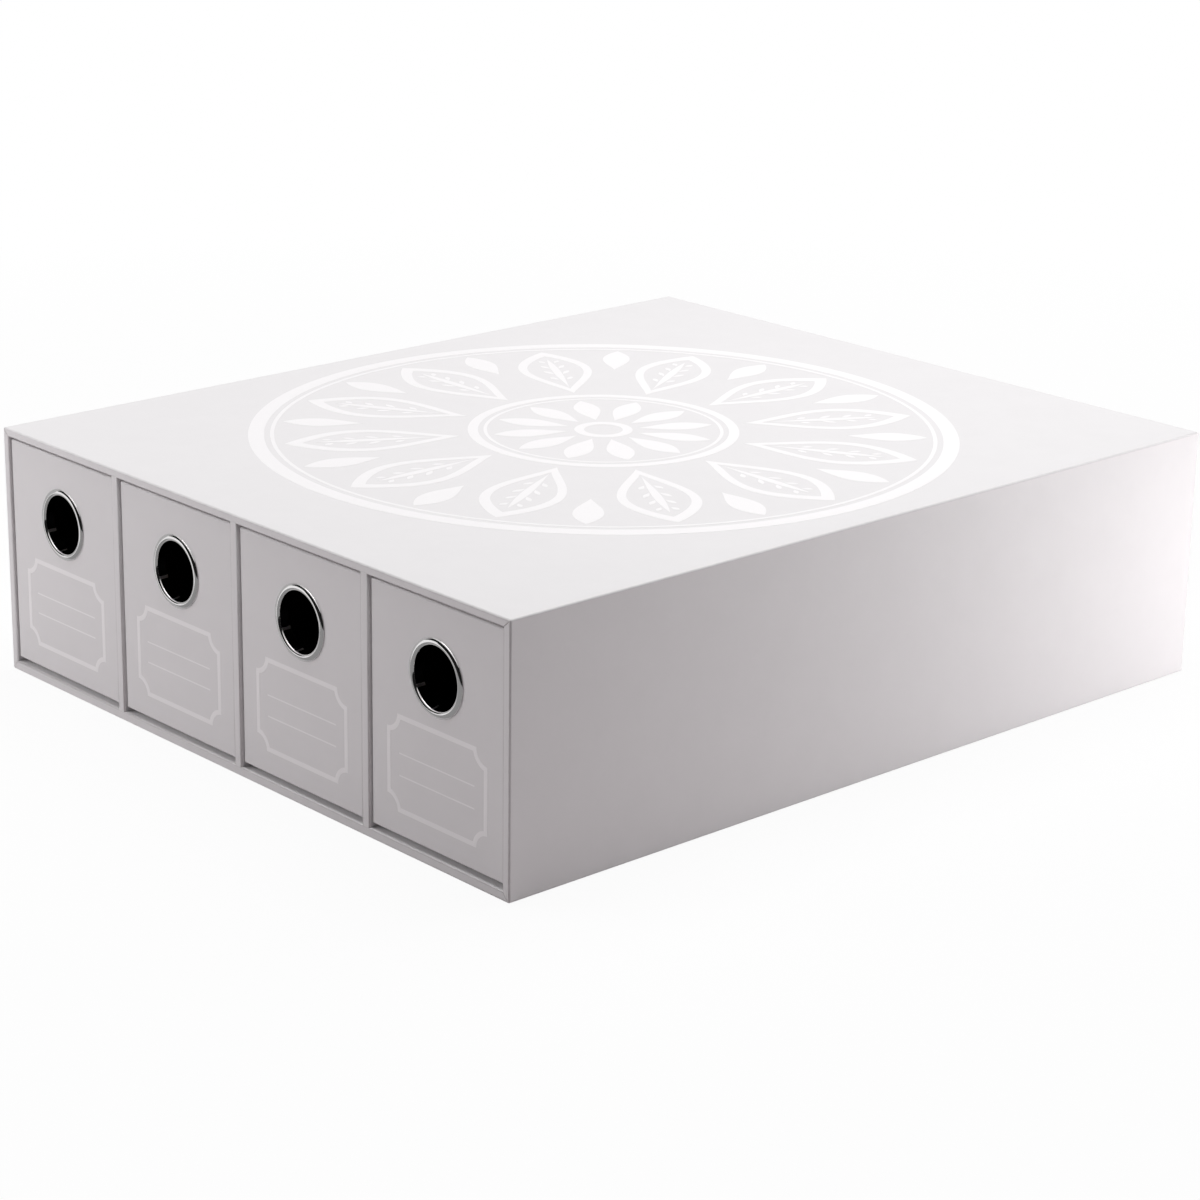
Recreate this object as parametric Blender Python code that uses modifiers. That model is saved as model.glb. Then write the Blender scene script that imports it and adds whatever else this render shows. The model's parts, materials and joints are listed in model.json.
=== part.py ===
"""A trading card drawer box: a paper-covered board case with four drawers side by side.

Metres, +Z up. The drawers face -Y. The origin is under the middle of the whole box, on the
surface that it stands on. Each board, each sheet of paper and each eyelet is an object of its own.
"""

import math

import bmesh
import bpy
from mathutils import Vector

MM = 0.001

# Paper and fits, shared by every piece
PAPER = 0.3 * MM  # cover paper and lining paper
GLUE_GAP = 0.3 * MM  # between a sheet and its board, and between two boards
SKIN = PAPER + GLUE_GAP  # from the face of a covered board to the board itself
FOLD = 1.2 * MM  # outer radius where paper turns round the edge of a case board
FOLD_SEGMENTS = 3
BOARD_EDGE_SEGMENTS = 2
WELD = 0.05 * MM  # closer points are one point
FACING_SHARE = 0.99  # least share of a normal that points the way its face looks
FOLD_ANGLE = math.radians(45)  # paper that turns by more than this is folded
SHARP_ANGLE = math.radians(40)  # metal that turns by more than this has a crisp edge

# Case, outside
CASE_WIDTH = 320 * MM
CASE_DEPTH = 376 * MM
CASE_HEIGHT = 105 * MM
CASE_WALL = 3.6 * MM  # board with its cover and its lining
CASE_TURN_IN = 18 * MM  # cover paper folded into the front of the case
CASE_MARGIN = 15 * MM  # cover paper folded over the back and under the base

# Dividers between the bays
DRAWERS = 4
DIVIDER = 4.6 * MM  # board with its paper
DIVIDER_FOLD = 1.6 * MM
DIVIDER_SETBACK = 0.3 * MM  # behind the front rim of the case

# Drawers
FACE_RECESS = 1.0 * MM  # drawer face behind the front rim
SIDE_CLEARANCE = 0.55 * MM
TOP_CLEARANCE = 0.6 * MM
BACK_CLEARANCE = 1.5 * MM
RUNNING_GAP = 0.3 * MM  # under the slide plate
TRAY_WALL = 2.7 * MM  # board with its cover and its lining
TRAY_TURN_IN = 12 * MM  # cover paper folded over the top edges into the drawer
TRAY_MARGIN = 14 * MM  # cover paper folded under the drawer
TRAY_FOLD = 0.6 * MM  # the same, round the thinner boards of a drawer
PLATE = 1.5 * MM  # slide plate that the drawer rests on
PLATE_FRONT_SETBACK = 8 * MM
PLATE_EDGE_SETBACK = 1.5 * MM

# Finger hole with its chromed eyelet and the washer that it is clinched over
HOLE_LAND = 3.2 * MM  # lining left above the punched hole
BORE_RADIUS = 12.1 * MM
BARREL_WALL = 0.5 * MM
PUNCH_CLEARANCE = 0.3 * MM
FLANGE_WIDTH = 2.8 * MM  # from the bore out
FLANGE_HEIGHT = 0.9 * MM  # crest in front of the drawer face
LIP_WIDTH = 1.0 * MM
LIP_FILLET = 0.3 * MM
WASHER_WIDTH = 1.4 * MM  # from the punched hole out
WASHER_THICKNESS = 0.5 * MM
CUTTER_OVERRUN = 5 * MM
TURN_STEPS = 32
FLANGE_STEPS = 6
LIP_STEPS = 2

# Worked out from the sizes above
CASE_BOARD = CASE_WALL - 2 * SKIN
DIVIDER_BOARD = DIVIDER - 2 * SKIN
TRAY_BOARD = TRAY_WALL - 2 * SKIN
BOARD_EDGE = FOLD - SKIN
BAY_WIDTH = (CASE_WIDTH - 2 * CASE_WALL - (DRAWERS - 1) * DIVIDER) / DRAWERS
BAY_PITCH = BAY_WIDTH + DIVIDER
BAY_HEIGHT = CASE_HEIGHT - 2 * CASE_WALL
EYELET_STANDS_OUT = max(FLANGE_HEIGHT - FACE_RECESS, 0)
CASE_MIDDLE = EYELET_STANDS_OUT / 2  # keeps the origin under the middle, eyelets included
CASE_FRONT = CASE_MIDDLE - CASE_DEPTH / 2
CASE_BACK = CASE_MIDDLE + CASE_DEPTH / 2
TRAY_WIDTH = BAY_WIDTH - 2 * SIDE_CLEARANCE
TRAY_LENGTH = CASE_DEPTH - CASE_WALL - BACK_CLEARANCE - FACE_RECESS
TRAY_BOTTOM = PLATE + GLUE_GAP
TRAY_TOP = BAY_HEIGHT - RUNNING_GAP - TOP_CLEARANCE
TRAY_HEIGHT = TRAY_TOP - TRAY_BOTTOM
BARREL_RADIUS = BORE_RADIUS + BARREL_WALL
PUNCH_RADIUS = BARREL_RADIUS + PUNCH_CLEARANCE
FLANGE_RADIUS = BORE_RADIUS + FLANGE_WIDTH
WASHER_RADIUS = PUNCH_RADIUS + WASHER_WIDTH
HOLE_HEIGHT = TRAY_TOP - TRAY_TURN_IN - GLUE_GAP - HOLE_LAND - PUNCH_RADIUS

UP, DOWN = Vector((0, 0, 1)), Vector((0, 0, -1))
FRONT, BACK = Vector((0, -1, 0)), Vector((0, 1, 0))


def finish(name, colour, roughness, metallic=0.0):
    """A plain material of this colour."""
    material = bpy.data.materials.new(name)
    material.use_nodes = True
    shader = material.node_tree.nodes["Principled BSDF"]
    shader.inputs["Base Color"].default_value = (*colour, 1)
    shader.inputs["Roughness"].default_value = roughness
    shader.inputs["Metallic"].default_value = metallic
    return material


def new_collection(name):
    collection = bpy.data.collections.new(name)
    bpy.context.scene.collection.children.link(collection)
    return collection


def place(name, bm, location, material, parent=None):
    """Makes a named piece of a bmesh. The location is relative to the parent."""
    mesh = bpy.data.meshes.new(name)
    bm.to_mesh(mesh)
    bm.free()
    piece = bpy.data.objects.new(name, mesh)
    parts.objects.link(piece)
    piece.parent = parent
    piece.location = location
    if material:
        mesh.materials.append(material)
    return piece


def block(size):
    """A box of this size round the origin."""
    bm = bmesh.new()
    bmesh.ops.create_cube(bm, size=1)
    bmesh.ops.scale(bm, vec=size, verts=bm.verts)
    bm.normal_update()
    return bm


def facing(bm, direction):
    """The one face of a box that looks this way and lies furthest out."""
    return max(
        (face for face in bm.faces if face.normal.dot(direction) > FACING_SHARE),
        key=lambda face: face.calc_center_median().dot(direction),
    )


def round_edges(piece, radius, segments):
    bevel = piece.modifiers.new("rounded edges", "BEVEL")
    bevel.width = radius
    bevel.segments = segments
    bevel.limit_method = "ANGLE"
    return bevel


def give_thickness(sheet, side):
    """Turns a surface into paper. A side of -1 lies behind the surface, 1 in front of it."""
    solidify = sheet.modifiers.new("paper", "SOLIDIFY")
    solidify.thickness = PAPER
    solidify.offset = side
    solidify.use_even_offset = True


def board(name, size, location, parent=None):
    """A greyboard panel, cut square."""
    return place(name, block(size), location, greyboard, parent)


def case_board(name, size, location):
    """A greyboard panel of the case. Its edges follow the folds of the paper round it."""
    round_edges(board(name, size, location), BOARD_EDGE, BOARD_EDGE_SEGMENTS)


def cover(name, size, location, mouth, lip, turn_in, fold, cut_faces, margin, parent=None):
    """The paper round a box of boards.

    It is folded over the rim of the mouth, which is as wide as the lip, and turned in. On each
    cut face it ends in a margin with mitred corners.
    """
    bm = block(size)
    for direction in cut_faces:
        cut_open(bm, facing(bm, direction), margin)
    face = facing(bm, mouth)
    height = face.calc_center_median().dot(mouth)
    cut_open(bm, face, lip)
    at_mouth = [edge for edge in bm.edges if level(edge, mouth, height)]
    row = bmesh.ops.extrude_edge_only(bm, edges=[edge for edge in at_mouth if edge.is_boundary])
    moved = [item for item in row["geom"] if isinstance(item, bmesh.types.BMVert)]
    bmesh.ops.translate(bm, vec=-turn_in * mouth, verts=moved)
    weight = bm.edges.layers.float.new("bevel_weight_edge")
    for edge in bm.edges:
        if not edge.is_boundary and edge.calc_face_angle_signed() > FOLD_ANGLE:
            edge[weight] = 1
    sheet = place(name, bm, location, cover_paper, parent)
    round_edges(sheet, fold, FOLD_SEGMENTS).limit_method = "WEIGHT"
    give_thickness(sheet, -1)
    return sheet


def cut_open(bm, face, margin):
    """Cuts the middle out of a face and leaves a margin with mitred corners."""
    bmesh.ops.inset_region(bm, faces=[face], thickness=margin, use_even_offset=True)
    bmesh.ops.delete(bm, geom=[face], context="FACES")


def level(edge, direction, height):
    """Whether both ends of an edge lie this far along a direction."""
    return all(abs(vert.co.dot(direction) - height) < PAPER for vert in edge.verts)


def lining(name, size, location, mouth, parent=None):
    """The paper inside a box of boards, open at its mouth. The size is the clear inside."""
    bm = block(size)
    bmesh.ops.delete(bm, geom=[facing(bm, mouth)], context="FACES")
    sheet = place(name, bm, location, lining_paper, parent)
    give_thickness(sheet, 1)
    return sheet


def flat_sheet(name, size, location):
    """A cut rectangle of cover paper."""
    return place(name, block(size), location, cover_paper)


def turned(name, profile, location, parent):
    """A ring turned from a closed profile of (radius, height), with its axis along Y."""
    bm = bmesh.new()
    verts = [bm.verts.new((radius, 0, height)) for radius, height in profile]
    for start, end in zip(verts, verts[1:] + verts[:1]):
        bm.edges.new((start, end))
    ring = place(name, bm, location, chrome, parent)
    ring.rotation_euler.x = math.radians(90)
    screw = ring.modifiers.new("turned", "SCREW")
    screw.steps = screw.render_steps = TURN_STEPS
    screw.use_merge_vertices = True
    screw.merge_threshold = WELD
    screw.use_smooth_shade = True
    ring.data.set_sharp_from_angle(angle=SHARP_ANGLE)
    return ring


def arc(centre, radii, start, end, steps):
    """Points on an arc or an ellipse, from one angle in degrees to another."""
    angles = [math.radians(start + (end - start) * i / steps) for i in range(steps + 1)]
    return [
        (centre[0] + radii[0] * math.cos(angle), centre[1] + radii[1] * math.sin(angle))
        for angle in angles
    ]


def build_case():
    board_width = CASE_WIDTH - 2 * SKIN
    board_depth = CASE_DEPTH - 2 * SKIN
    inner_width = board_width - 2 * (CASE_BOARD + GLUE_GAP)
    inner_height = CASE_HEIGHT - 2 * (SKIN + CASE_BOARD + GLUE_GAP)
    middle = CASE_HEIGHT / 2
    board_centre = SKIN + CASE_BOARD / 2
    flat = (board_width, board_depth, CASE_BOARD)
    upright = (CASE_BOARD, board_depth, inner_height)
    side_x = CASE_WIDTH / 2 - board_centre
    back_y = CASE_BACK - board_centre
    case_board("bottom_board", flat, (0, CASE_MIDDLE, board_centre))
    case_board("top_board", flat, (0, CASE_MIDDLE, CASE_HEIGHT - board_centre))
    case_board("left_board", upright, (-side_x, CASE_MIDDLE, middle))
    case_board("right_board", upright, (side_x, CASE_MIDDLE, middle))
    back_size = (inner_width, CASE_BOARD, inner_height)
    case_board("back_board", back_size, (0, back_y, middle))
    cover(
        "case_cover",
        (CASE_WIDTH, CASE_DEPTH, CASE_HEIGHT),
        (0, CASE_MIDDLE, middle),
        mouth=FRONT,
        lip=CASE_WALL,
        turn_in=CASE_TURN_IN,
        fold=FOLD,
        cut_faces=(BACK, DOWN),
        margin=CASE_MARGIN,
    )
    cut = 2 * (CASE_MARGIN + GLUE_GAP)
    sheet_width = CASE_WIDTH - cut
    back_sheet = (sheet_width, PAPER, CASE_HEIGHT - cut)
    flat_sheet("back_sheet", back_sheet, (0, CASE_BACK - PAPER / 2, middle))
    base_sheet = (sheet_width, CASE_DEPTH - cut, PAPER)
    flat_sheet("base_sheet", base_sheet, (0, CASE_MIDDLE, PAPER / 2))


def bay_x(number):
    """The middle of a bay, counted from 1 at the left."""
    return (number - (DRAWERS + 1) / 2) * BAY_PITCH


def build_divider(number):
    """A board between two bays, and the paper folded round its front edge."""
    x = bay_x(number) + BAY_PITCH / 2
    height = BAY_HEIGHT - 2 * GLUE_GAP
    middle = CASE_HEIGHT / 2
    front = CASE_FRONT + DIVIDER_SETBACK
    board_front = front + SKIN
    board_back = CASE_BACK - SKIN - CASE_BOARD - GLUE_GAP
    size = (DIVIDER_BOARD, board_back - board_front, height)
    panel = place(
        f"divider_{number}",
        block(size),
        (x, (board_front + board_back) / 2, middle),
        greyboard,
    )
    round_edges(panel, DIVIDER_FOLD - SKIN, BOARD_EDGE_SEGMENTS)
    paper_back = CASE_FRONT + CASE_TURN_IN
    bm = block((DIVIDER, paper_back - front, height))
    for direction in (BACK, UP, DOWN):
        bmesh.ops.delete(bm, geom=[facing(bm, direction)], context="FACES")
    centre = (x, (front + paper_back) / 2, middle)
    sheet = place(f"divider_cover_{number}", bm, centre, cover_paper)
    round_edges(sheet, DIVIDER_FOLD, FOLD_SEGMENTS)
    give_thickness(sheet, -1)


def build_bay_lining(number):
    front = CASE_FRONT + CASE_TURN_IN + GLUE_GAP
    back = CASE_BACK - CASE_WALL
    size = (BAY_WIDTH, back - front, BAY_HEIGHT)
    centre = (bay_x(number), (front + back) / 2, CASE_HEIGHT / 2)
    lining(f"bay_lining_{number}", size, centre, FRONT)


def build_drawer(number):
    """A drawer. Its empty stands on its sliding axis, under the middle of its face."""
    slide = bpy.data.objects.new(f"drawer_{number}", None)
    parts.objects.link(slide)
    slide.location = (bay_x(number), CASE_FRONT + FACE_RECESS, CASE_WALL + RUNNING_GAP)
    slide.empty_display_size = TRAY_BOARD
    prefix = f"drawer_{number}_"
    middle_y = TRAY_LENGTH / 2
    middle_z = TRAY_BOTTOM + TRAY_HEIGHT / 2
    board_centre = SKIN + TRAY_BOARD / 2
    inset = 2 * (SKIN + TRAY_BOARD + GLUE_GAP)
    wall_height = TRAY_HEIGHT - 2 * SKIN
    across = (TRAY_WIDTH - 2 * SKIN, TRAY_BOARD, wall_height)
    along = (TRAY_BOARD, TRAY_LENGTH - inset, wall_height)
    side_x = TRAY_WIDTH / 2 - board_centre
    front = board(prefix + "front", across, (0, board_centre, middle_z), slide)
    board(prefix + "back", across, (0, TRAY_LENGTH - board_centre, middle_z), slide)
    board(prefix + "left", along, (-side_x, middle_y, middle_z), slide)
    board(prefix + "right", along, (side_x, middle_y, middle_z), slide)
    floor = (TRAY_WIDTH - inset, TRAY_LENGTH - inset, TRAY_BOARD)
    board(prefix + "floor", floor, (0, middle_y, TRAY_BOTTOM + board_centre), slide)
    paper = cover(
        prefix + "cover",
        (TRAY_WIDTH, TRAY_LENGTH, TRAY_HEIGHT),
        (0, middle_y, middle_z),
        mouth=UP,
        lip=TRAY_WALL,
        turn_in=TRAY_TURN_IN,
        fold=TRAY_FOLD,
        cut_faces=(DOWN,),
        margin=TRAY_MARGIN,
        parent=slide,
    )
    inside_bottom = TRAY_BOTTOM + TRAY_WALL
    inside_top = TRAY_TOP - TRAY_TURN_IN - GLUE_GAP
    inside_size = (
        TRAY_WIDTH - 2 * TRAY_WALL,
        TRAY_LENGTH - 2 * TRAY_WALL,
        inside_top - inside_bottom,
    )
    inside_centre = (0, middle_y, (inside_bottom + inside_top) / 2)
    inside = lining(prefix + "lining", inside_size, inside_centre, UP, slide)
    plate_back = TRAY_LENGTH - PLATE_EDGE_SETBACK
    plate_size = (
        TRAY_WIDTH - 2 * PLATE_EDGE_SETBACK,
        plate_back - PLATE_FRONT_SETBACK,
        PLATE,
    )
    plate_centre = (0, (PLATE_FRONT_SETBACK + plate_back) / 2, PLATE / 2)
    plate = place(prefix + "slide_plate", block(plate_size), plate_centre, lining_paper, slide)
    round_edges(plate, PAPER, BOARD_EDGE_SEGMENTS)
    hole = (0, 0, HOLE_HEIGHT)
    punch(prefix + "punch", (paper, front, inside), hole, slide)
    build_eyelet(prefix, hole, slide)


def punch(name, layers, location, parent):
    """Cuts the finger hole through the layers of the drawer's front wall."""
    bm = bmesh.new()
    length = TRAY_WALL + 2 * CUTTER_OVERRUN
    bmesh.ops.create_cone(
        bm,
        cap_ends=True,
        segments=TURN_STEPS,
        radius1=PUNCH_RADIUS,
        radius2=PUNCH_RADIUS,
        depth=length,
    )
    x, y, z = location
    cutter = place(name, bm, (x, y + TRAY_WALL / 2, z), None, parent)
    cutter.rotation_euler.x = math.radians(90)
    parts.objects.unlink(cutter)
    cutters.objects.link(cutter)
    cutter.hide_render = True
    cutter.display_type = "WIRE"
    for layer in layers:
        cut = layer.modifiers.new("finger hole", "BOOLEAN")
        cut.operation = "DIFFERENCE"
        cut.solver = "EXACT"
        cut.object = cutter


def build_eyelet(prefix, hole, parent):
    """The eyelet from its domed flange to the lip rolled over the washer.

    Heights are in front of the drawer face, so what lies inside the drawer has negative ones.
    """
    washer_front = -TRAY_WALL - GLUE_GAP
    washer_back = washer_front - WASHER_THICKNESS
    roll = (BARREL_RADIUS + LIP_FILLET, washer_back - GLUE_GAP + LIP_FILLET)
    outer_roll = LIP_FILLET + BARREL_WALL
    over_washer = arc(roll, (LIP_FILLET, LIP_FILLET), 180, 270, LIP_STEPS)
    in_bore = arc(roll, (outer_roll, outer_roll), 270, 180, LIP_STEPS)
    lip_radius = roll[0] + LIP_WIDTH
    lip = [(lip_radius, over_washer[-1][1]), (lip_radius, in_bore[0][1])]
    flange_middle = (FLANGE_RADIUS + BORE_RADIUS) / 2
    flange_size = (FLANGE_RADIUS - flange_middle, FLANGE_HEIGHT - GLUE_GAP)
    dome = arc((flange_middle, GLUE_GAP), flange_size, 180, 0, FLANGE_STEPS)
    profile = [(BARREL_RADIUS, GLUE_GAP)] + over_washer + lip + in_bore + dome
    turned(prefix + "eyelet", profile, hole, parent)
    washer = [
        (WASHER_RADIUS, washer_front),
        (WASHER_RADIUS, washer_back),
        (PUNCH_RADIUS, washer_back),
        (PUNCH_RADIUS, washer_front),
    ]
    turned(prefix + "washer", washer, hole, parent)


for leftover in list(bpy.data.objects):
    bpy.data.objects.remove(leftover, do_unlink=True)
parts = new_collection("card_drawer_box")
cutters = new_collection("cutters")
cover_paper = finish("white cover paper", (0.76, 0.74, 0.75), 0.55)
lining_paper = finish("black lining paper", (0.012, 0.012, 0.013), 0.7)
greyboard = finish("greyboard", (0.33, 0.31, 0.28), 0.9)
chrome = finish("chromed steel", (0.78, 0.78, 0.8), 0.08, 1.0)
build_case()
for bay in range(1, DRAWERS + 1):
    build_bay_lining(bay)
    build_drawer(bay)
    if bay < DRAWERS:
        build_divider(bay)
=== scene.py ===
# %% [markdown]
# A trading card drawer box. It is a rigid box: grey boards wrapped in white paper, with four
# drawers that are pulled by chromed finger holes. The solids that hold, slide and collide are
# already made, so this script loads them first and then dresses them. It prints the size of a
# few bare solids.

# %% Load the frame
import json
import math

import bmesh
import bpy
from mathutils import Matrix, Vector


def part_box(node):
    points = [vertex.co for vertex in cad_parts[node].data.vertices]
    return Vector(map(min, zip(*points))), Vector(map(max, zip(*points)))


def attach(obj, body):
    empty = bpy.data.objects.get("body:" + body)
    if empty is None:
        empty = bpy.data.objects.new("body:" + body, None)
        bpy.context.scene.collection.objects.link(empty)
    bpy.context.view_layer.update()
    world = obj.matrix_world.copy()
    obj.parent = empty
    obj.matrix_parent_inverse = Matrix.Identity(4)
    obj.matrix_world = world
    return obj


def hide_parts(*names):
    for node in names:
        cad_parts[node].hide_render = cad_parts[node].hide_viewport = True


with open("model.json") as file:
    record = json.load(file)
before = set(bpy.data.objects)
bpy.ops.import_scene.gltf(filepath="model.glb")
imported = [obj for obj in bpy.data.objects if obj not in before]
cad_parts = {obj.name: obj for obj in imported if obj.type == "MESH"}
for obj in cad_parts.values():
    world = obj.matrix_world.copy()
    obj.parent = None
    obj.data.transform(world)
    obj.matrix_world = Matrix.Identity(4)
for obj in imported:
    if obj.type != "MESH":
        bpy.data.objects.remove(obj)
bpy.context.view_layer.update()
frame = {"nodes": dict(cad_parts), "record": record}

# %% [markdown]
# Every size is in metres, so a millimetre gets a name of its own. Where a size belongs to a
# solid, it is read from the solid's box and not typed again, so the paper lies on its boards.

# %% Read the sizes of the box
MM = 0.001
DRAWERS = range(1, 5)
DIVIDERS = range(1, 4)
PAPER = 0.3 * MM
PRINT = 0.04 * MM  # printed ink, many times as thick as the real film
FOLD = 0.6 * MM  # outer radius of the paper where it turns round the edge of a board
FOLD_STEPS = 6

UP, DOWN = Vector((0, 0, 1)), Vector((0, 0, -1))
FRONT, BACK = Vector((0, -1, 0)), Vector((0, 1, 0))

case_low, case_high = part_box("case_cover")
for name in ("case_cover", "drawer_1_cover", "divider_cover_1", "drawer_1_eyelet"):
    low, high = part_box(name)
    print(name, "measures", [round(side / MM, 2) for side in high - low], "mm")

# %% [markdown]
# The photograph looks down on the box from the right front. Its view is a fitted one: a lens, a
# place and two directions. The small shift says that the photograph was cropped off centre.

# %% Set up the camera
CAMERA_PLACE = Vector((943.17, -862.7, 458.02)) * MM
CAMERA_FORWARD = Vector((-0.71277, 0.63431, -0.29936))
CAMERA_UP = Vector((-0.23034, 0.19145, 0.95409))
LENS = 96.366
SHIFT = (0.0333, -0.05)

camera = bpy.data.objects.new("camera", bpy.data.cameras.new("camera"))
camera.data.lens = LENS
camera.data.shift_x, camera.data.shift_y = SHIFT
backward = -CAMERA_FORWARD.normalized()
right = CAMERA_UP.cross(backward).normalized()
turned = Matrix((right, backward.cross(right), backward)).transposed()
camera.matrix_world = Matrix.Translation(CAMERA_PLACE) @ turned.to_4x4()
bpy.context.scene.collection.objects.link(camera)
bpy.context.scene.camera = camera
print("the camera stands", round(CAMERA_PLACE.length, 3), "m from the box")

# %% [markdown]
# Colours are picked on a screen as sRGB hex values, but a shader reckons in linear light, so one
# function turns the one into the other. Another adds a shader node with its settings, values and
# links, which keeps each material short enough to read.


# %% Helpers for materials
def linear(colour):
    """The linear light of an sRGB colour such as FFFFFF, with an alpha of 1."""
    shares = [int(colour[i : i + 2], 16) / 255 for i in (0, 2, 4)]
    return [s / 12.92 if s <= 0.04045 else ((s + 0.055) / 1.055) ** 2.4 for s in shares] + [1]


def add(tree, kind, inputs, **settings):
    """Adds a node. Each input is a value or the socket of another node that feeds it."""
    node = tree.nodes.new(kind)
    for name, value in settings.items():
        setattr(node, name, value)
    for name, value in inputs.items():
        if isinstance(value, bpy.types.NodeSocket):
            tree.links.new(value, node.inputs[name])
        else:
            node.inputs[name].default_value = value
    return node


def new_material(name):
    """A new material with its tree, its shader and the places that its patterns read."""
    material = bpy.data.materials.new(name)
    material.use_nodes = True
    tree = material.node_tree
    place = add(tree, "ShaderNodeTexCoord", {}).outputs["Object"]
    return material, tree, tree.nodes["Principled BSDF"], place


print("mid grey in linear light:", [round(share, 3) for share in linear("808080")])

# %% [markdown]
# The box is covered with white paper, laminated matt. What the eye sees is a fine tooth, faint
# clouds of fibre, and folds that are slightly rubbed, where the film is worn and dust settles.
# Noise on Object coordinates gives all three, so each pattern keeps its size in millimetres on
# every piece. The tooth of the real paper is about 0.2 mm, which is too fine to show, so it is
# drawn four times as coarse and very shallow. The black paper inside is made the same way.

# %% Make the papers
TOOTH = 0.8 * MM
TOOTH_DEPTH = 0.03 * MM
CLOUD = 14 * MM
RUB = 4 * MM


def make_paper(name, colour, cloud_colour, rub_colour, roughness, tooth_strength):
    """A printed or laminated paper. The face attribute fold says where it is bent and rubbed."""
    material, tree, shader, place = new_material(name)
    cloud = add(
        tree,
        "ShaderNodeTexNoise",
        {"Vector": place, "Scale": 1 / CLOUD, "Detail": 6, "Roughness": 0.6},
    ).outputs["Fac"]
    rub = add(
        tree,
        "ShaderNodeTexNoise",
        {"Vector": place, "Scale": 1 / RUB, "Detail": 5, "Roughness": 0.65},
    ).outputs["Fac"]
    tooth = add(
        tree,
        "ShaderNodeTexNoise",
        {"Vector": place, "Scale": 1 / TOOTH, "Detail": 3, "Roughness": 0.7},
    ).outputs["Fac"]
    fold = add(tree, "ShaderNodeAttribute", {}, attribute_name="fold").outputs["Fac"]
    worn = add(tree, "ShaderNodeMath", {0: rub, 1: fold}, operation="MULTIPLY")
    clouded = add(tree, "ShaderNodeMixRGB", {"Color1": linear(colour)})
    clouded.inputs["Color2"].default_value = linear(cloud_colour)
    tree.links.new(cloud, clouded.inputs["Fac"])
    rubbed = add(
        tree,
        "ShaderNodeMixRGB",
        {"Fac": worn.outputs[0], "Color1": clouded.outputs[0], "Color2": linear(rub_colour)},
    )
    gloss = add(
        tree,
        "ShaderNodeMapRange",
        {"Value": cloud, "To Min": roughness - 0.06, "To Max": roughness + 0.06},
    )
    bump = add(
        tree,
        "ShaderNodeBump",
        {"Height": tooth, "Strength": tooth_strength, "Distance": TOOTH_DEPTH},
    )
    tree.links.new(rubbed.outputs[0], shader.inputs["Base Color"])
    tree.links.new(gloss.outputs[0], shader.inputs["Roughness"])
    tree.links.new(bump.outputs[0], shader.inputs["Normal"])
    return material


white_paper = make_paper("matt_laminated_white_paper", "ECEAEB", "E8E6E7", "D9D6D7", 0.55, 0.3)
black_paper = make_paper("matt_black_lining_paper", "1A191B", "151416", "282729", 0.8, 0.6)
print("papers:", white_paper.name, black_paper.name)

# %% [markdown]
# The pattern on top and the label frames are screen printed in opaque white ink. Ink lies on the
# paper as a thin, slightly glossier film, with a faint mottle where the paper drank it unevenly.

# %% Make the printing ink
MOTTLE = 2.5 * MM


def make_ink(name, colour, thin_colour):
    """An ink that is a little thinner in places."""
    material, tree, shader, place = new_material(name)
    mottle = add(
        tree,
        "ShaderNodeTexNoise",
        {"Vector": place, "Scale": 1 / MOTTLE, "Detail": 5, "Roughness": 0.7},
    ).outputs["Fac"]
    inked = add(
        tree,
        "ShaderNodeMixRGB",
        {"Fac": mottle, "Color1": linear(colour), "Color2": linear(thin_colour)},
    )
    gloss = add(tree, "ShaderNodeMapRange", {"Value": mottle, "To Min": 0.34, "To Max": 0.48})
    bump = add(
        tree,
        "ShaderNodeBump",
        {"Height": mottle, "Strength": 0.2, "Distance": TOOTH_DEPTH},
    )
    tree.links.new(inked.outputs[0], shader.inputs["Base Color"])
    tree.links.new(gloss.outputs[0], shader.inputs["Roughness"])
    tree.links.new(bump.outputs[0], shader.inputs["Normal"])
    return material


white_ink = make_ink("screen_printed_white_ink", "FDFBFC", "FAF8F9")
print("ink:", white_ink.name)

# %% [markdown]
# The boards are greyboard, pressed from waste paper. It is rough and matt, grey with a warm
# cast, and flecked with darker and lighter fibres.

# %% Make the greyboard
FLECK = 1.6 * MM


def make_greyboard():
    material, tree, shader, place = new_material("pressed_greyboard")
    fleck = add(
        tree,
        "ShaderNodeTexVoronoi",
        {"Vector": place, "Scale": 1 / FLECK, "Randomness": 1},
    )
    shade = add(tree, "ShaderNodeRGBToBW", {"Color": fleck.outputs["Color"]})
    pulp = add(
        tree,
        "ShaderNodeTexNoise",
        {"Vector": place, "Scale": 1 / TOOTH, "Detail": 6, "Roughness": 0.7},
    )
    colour = add(
        tree,
        "ShaderNodeMixRGB",
        {"Fac": shade.outputs[0], "Color1": linear("8C867D"), "Color2": linear("A09A90")},
    )
    bump = add(
        tree,
        "ShaderNodeBump",
        {"Height": pulp.outputs["Fac"], "Strength": 0.7, "Distance": 2 * TOOTH_DEPTH},
    )
    tree.links.new(colour.outputs[0], shader.inputs["Base Color"])
    tree.links.new(bump.outputs[0], shader.inputs["Normal"])
    shader.inputs["Roughness"].default_value = 0.92
    return material


greyboard = make_greyboard()
print("board:", greyboard.name)

# %% [markdown]
# The eyelets are steel, pressed and bright chromed, so they mirror the room. Polishing leaves
# faint scratches that only show as small changes of gloss. The washers inside are plain nickel
# plate, which is warmer and duller.

# %% Make the plated metals
SCRATCH = 0.9 * MM


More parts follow.
